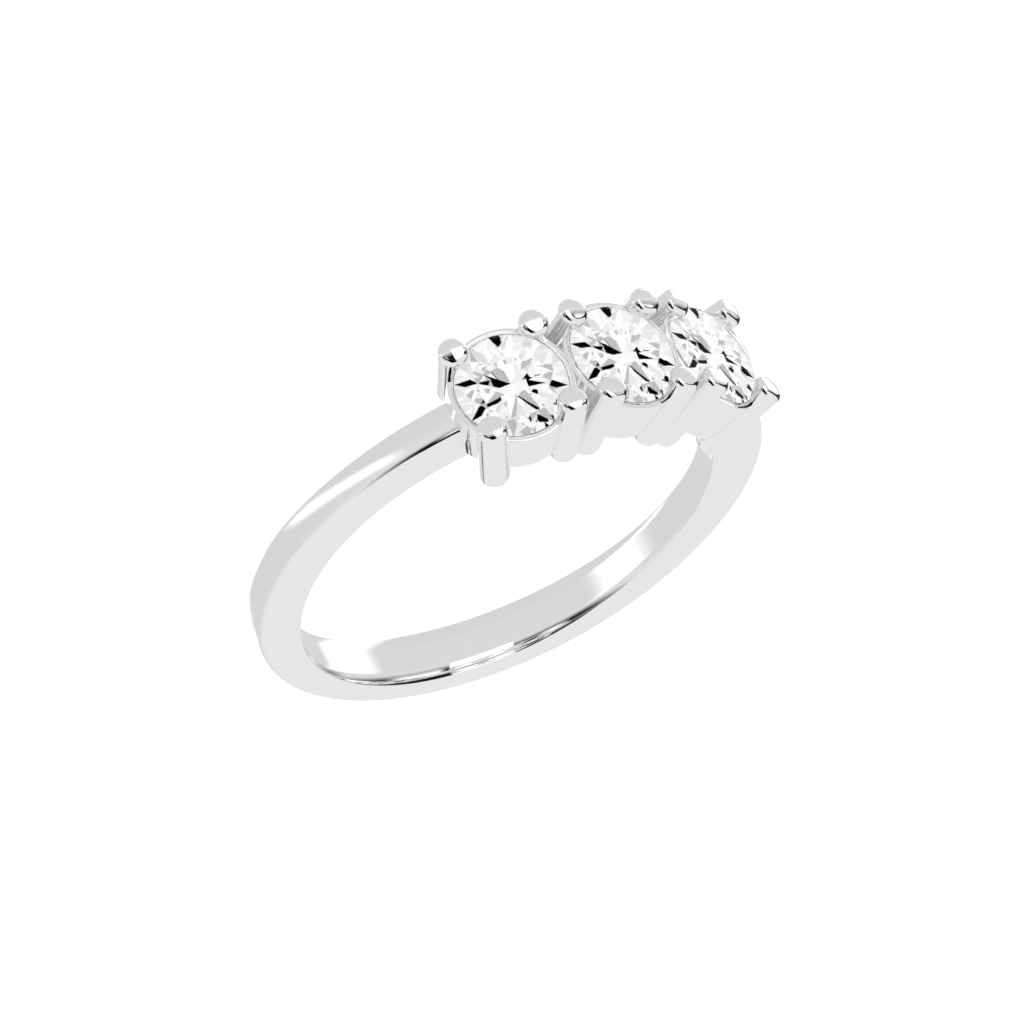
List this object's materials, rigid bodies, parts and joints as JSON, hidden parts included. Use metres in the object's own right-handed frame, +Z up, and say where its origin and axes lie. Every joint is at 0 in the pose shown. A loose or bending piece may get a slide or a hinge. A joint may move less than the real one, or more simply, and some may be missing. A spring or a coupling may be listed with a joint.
{
  "type": "three stone ring",
  "caption": "Finger ring with a row of round brilliants in claw heads, on a slim polished comfort-fit band that is narrow at the heads and wider at the palm.",
  "frame": {"origin": "on the floor, under the middle of the box that holds the lying ring", "axes": "+Z up. +Y from the stones toward the palm side of the band, +X along the row of stones toward the one at the picture's left. The finger axis stands almost along +Z and leans 4.9 degrees toward +Y."},
  "size_m": [0.021, 0.0224, 0.0053],
  "materials": {
    "white_gold": "mirror-polished white metal",
    "diamond": "clear, flat polished facets"
  },
  "bodies": {
    "root": {"mounting": "white_gold", "stone_left": "diamond", "stone_centre": "diamond", "stone_right": "diamond"}
  },
  "joints": []
}
